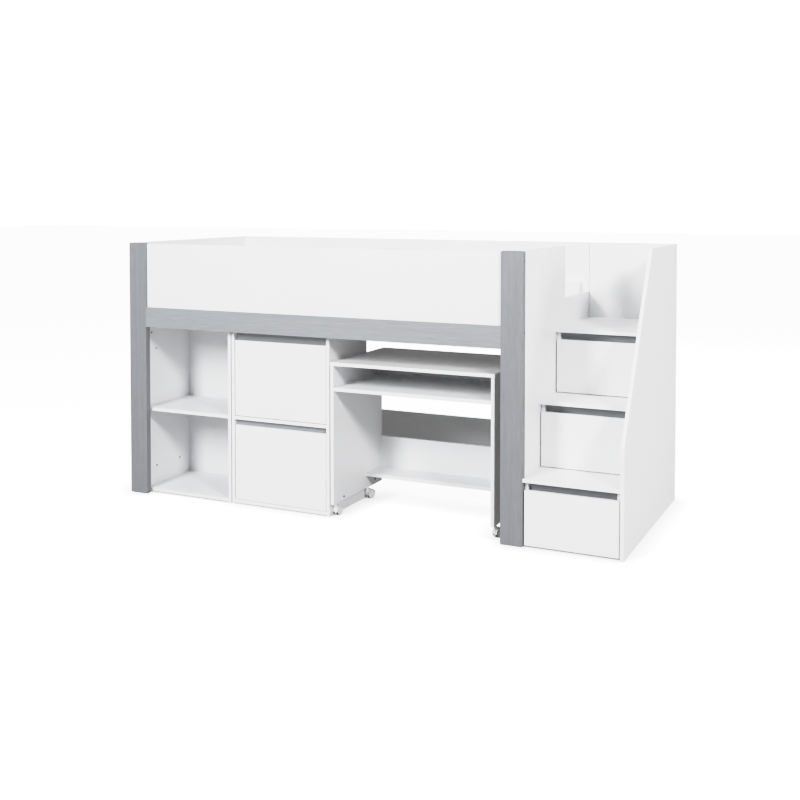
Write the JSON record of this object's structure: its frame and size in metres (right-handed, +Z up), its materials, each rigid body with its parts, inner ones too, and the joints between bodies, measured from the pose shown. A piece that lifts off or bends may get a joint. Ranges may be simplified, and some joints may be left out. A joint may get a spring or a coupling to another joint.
{
  "type": "loft bed with desk",
  "caption": "Mid-height loft bed with guard boards, storage stairs with drawers, an open shelf unit, a drawer unit and a roll-out desk on castors.",
  "frame": {"origin": "on the floor at the middle of the whole footprint of bed and stairs", "axes": "+X from the head of the bed to the stairs, +Y from the front to the back, +Z up"},
  "size_m": [2.375, 0.975, 1.19],
  "materials": {
    "white_board": "white melamine foil on particle board, satin",
    "grey_board": "grey foil with a fine wood grain, satin",
    "drawer_board": "white foil, matte",
    "thin_back": "white lacquered hardboard",
    "pine": "untreated pine",
    "steel": "zinc plated",
    "dark_steel": "blackened",
    "runner_plastic": "white plastic",
    "cap_plastic": "dark grey plastic",
    "castor_plastic": "white plastic",
    "castor_wheel": "white plastic discs",
    "castor_tyre": "dark grey tread"
  },
  "bodies": {
    "frame": {"left_front_post": "grey_board", "right_front_post": "grey_board", "front_rail": "grey_board", "front_guard": "white_board", "head_end_panel": "white_board", "foot_end_panel": "white_board", "back_guard": "white_board", "back_stretcher": "white_board", "back_rail": "white_board", "base_ledges": "pine", "base_boards": "white_board", "connector_bolts": "dark_steel", "open_unit_left_side": "white_board", "open_unit_right_side": "white_board", "open_unit_top": "white_board", "open_unit_shelf": "white_board", "open_unit_bottom": "white_board", "open_unit_screw_caps": "cap_plastic", "shelf_pins": "steel", "drawer_unit_left_side": "white_board", "drawer_unit_right_side": "white_board", "drawer_unit_top": "white_board", "drawer_unit_stretchers": "grey_board", "drawer_unit_divider": "white_board", "drawer_unit_bottom": "white_board", "unit_backs": "thin_back", "drawer_runners": "runner_plastic", "stair_outer_panel": "white_board", "stair_back_panel": "white_board", "lower_tread": "white_board", "middle_tread": "white_board", "top_tread": "white_board", "stair_inner_sides": "white_board", "stair_stretchers": "grey_board"},
    "upper_drawer": {"upper_drawer_front": "white_board", "upper_drawer_box": "drawer_board"},
    "lower_drawer": {"lower_drawer_front": "white_board", "lower_drawer_box": "drawer_board"},
    "desk": {"desktop": "white_board", "desk_left_side": "white_board", "desk_right_side": "white_board", "desk_tray": "white_board", "desk_compartment_back": "white_board", "desk_foot_shelf": "white_board", "desk_back_board": "white_board", "desk_screw_caps": "cap_plastic"},
    "castor_front_left": {"castor_hood_front_left": "castor_plastic"},
    "castor_back_left": {"castor_hood_back_left": "castor_plastic"},
    "castor_front_right": {"castor_hood_front_right": "castor_plastic"},
    "castor_back_right": {"castor_hood_back_right": "castor_plastic"},
    "wheels_front_left": {"castor_wheels_front_left": "castor_wheel"},
    "wheels_back_left": {"castor_wheels_back_left": "castor_wheel"},
    "wheels_front_right": {"castor_wheels_front_right": "castor_wheel"},
    "wheels_back_right": {"castor_wheels_back_right": "castor_wheel"},
    "lower_step_drawer": {"lower_step_drawer_front": "white_board", "lower_step_drawer_box": "drawer_board"},
    "middle_step_drawer": {"middle_step_drawer_front": "white_board", "middle_step_drawer_box": "drawer_board"},
    "top_step_drawer": {"top_step_drawer_front": "white_board", "top_step_drawer_box": "drawer_board"}
  },
  "joints": [
    {"name": "desk_roll", "type": "slide", "parent": "frame", "child": "desk", "axis": [0, -1, 0], "range_m": [0, 0.9]},
    {"name": "upper_drawer_slide", "type": "slide", "parent": "frame", "child": "upper_drawer", "axis": [0, -1, 0], "range_m": [0, 0.23]},
    {"name": "lower_drawer_slide", "type": "slide", "parent": "frame", "child": "lower_drawer", "axis": [0, -1, 0], "range_m": [0, 0.23]},
    {"name": "lower_step_drawer_slide", "type": "slide", "parent": "frame", "child": "lower_step_drawer", "axis": [0, -1, 0], "range_m": [0, 0.34]},
    {"name": "middle_step_drawer_slide", "type": "slide", "parent": "frame", "child": "middle_step_drawer", "axis": [0, -1, 0], "range_m": [0, 0.34]},
    {"name": "top_step_drawer_slide", "type": "slide", "parent": "frame", "child": "top_step_drawer", "axis": [0, -1, 0], "range_m": [0, 0.34]},
    {"name": "castor_front_left_swivel", "type": "hinge", "parent": "desk", "child": "castor_front_left", "pos_m": [-0.115, -0.4165, 0.053], "axis": [0, 0, 1], "range_deg": [-155, 0]},
    {"name": "wheels_front_left_spin", "type": "hinge", "parent": "castor_front_left", "child": "wheels_front_left", "pos_m": [-0.1117, -0.39779, 0.02], "axis": [-0.9848, 0.1736, 0], "continuous": true},
    {"name": "castor_back_left_swivel", "type": "hinge", "parent": "desk", "child": "castor_back_left", "pos_m": [-0.115, -0.1105, 0.053], "axis": [0, 0, 1], "range_deg": [-150, 20]},
    {"name": "wheels_back_left_spin", "type": "hinge", "parent": "castor_back_left", "child": "wheels_back_left", "pos_m": [-0.10697, -0.09328, 0.02], "axis": [-0.9063, 0.4226, 0], "continuous": true},
    {"name": "castor_front_right_swivel", "type": "hinge", "parent": "desk", "child": "castor_front_right", "pos_m": [0.634, -0.4165, 0.053], "axis": [0, 0, 1], "continuous": true},
    {"name": "wheels_front_right_spin", "type": "hinge", "parent": "castor_front_right", "child": "wheels_front_right", "pos_m": [0.63987, -0.39843, 0.02], "axis": [-0.9511, 0.309, 0], "continuous": true},
    {"name": "castor_back_right_swivel", "type": "hinge", "parent": "desk", "child": "castor_back_right", "pos_m": [0.634, -0.1105, 0.053], "axis": [0, 0, 1], "continuous": true},
    {"name": "wheels_back_right_spin", "type": "hinge", "parent": "castor_back_right", "child": "wheels_back_right", "pos_m": [0.6231, -0.12606, 0.02], "axis": [0.8192, -0.5736, 0], "continuous": true}
  ]
}
